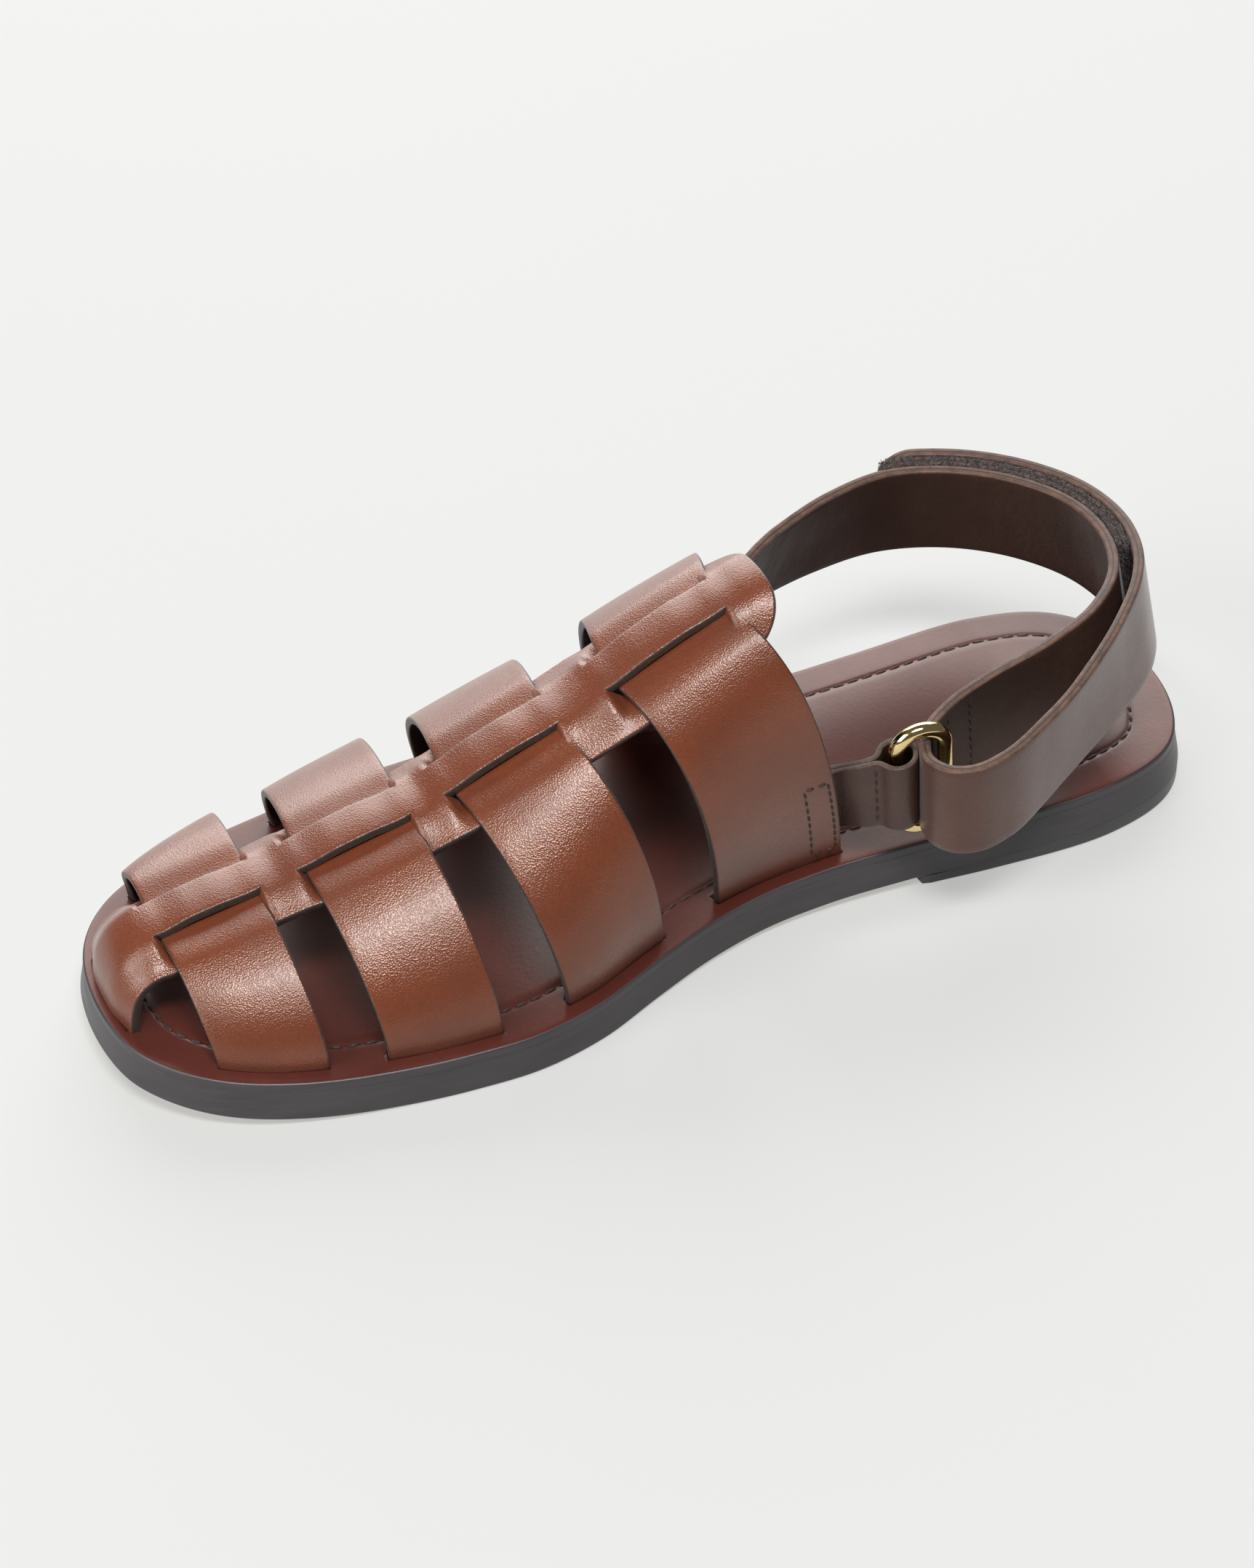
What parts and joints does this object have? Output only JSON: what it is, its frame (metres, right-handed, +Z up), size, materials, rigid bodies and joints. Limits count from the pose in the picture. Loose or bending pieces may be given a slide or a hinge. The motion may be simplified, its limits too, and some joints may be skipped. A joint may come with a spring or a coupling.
{
  "type": "caged sandal",
  "caption": "Low leather sandal for the right foot: a cage of cross straps threaded through a long spine, flat footbed, and a heel strap that passes through a ring and fastens back on itself.",
  "frame": {"origin": "middle of the box of the whole shoe, on the floor it stands on", "axes": "+X points to the toe, +Y to the inner (medial) side of the foot, +Z up"},
  "size_m": [0.2586, 0.1026, 0.081],
  "materials": {
    "sole_black": "satin charcoal black, painted edge",
    "footbed_leather": "smooth dark burgundy brown leather",
    "strap_leather": "warm mid-brown fine-grained leather with a soft sheen",
    "ring_metal": "polished gold-coloured metal",
    "fastening_tape": "dark brown hook and loop tape"
  },
  "bodies": {
    "root": {"outsole": "sole_black", "heel_lift": "sole_black", "insole": "footbed_leather", "upper": "strap_leather", "heel_strap": "strap_leather", "ring_tab": "strap_leather", "ring": "ring_metal", "loop_patch": "fastening_tape", "hook_patch": "fastening_tape"}
  },
  "joints": []
}
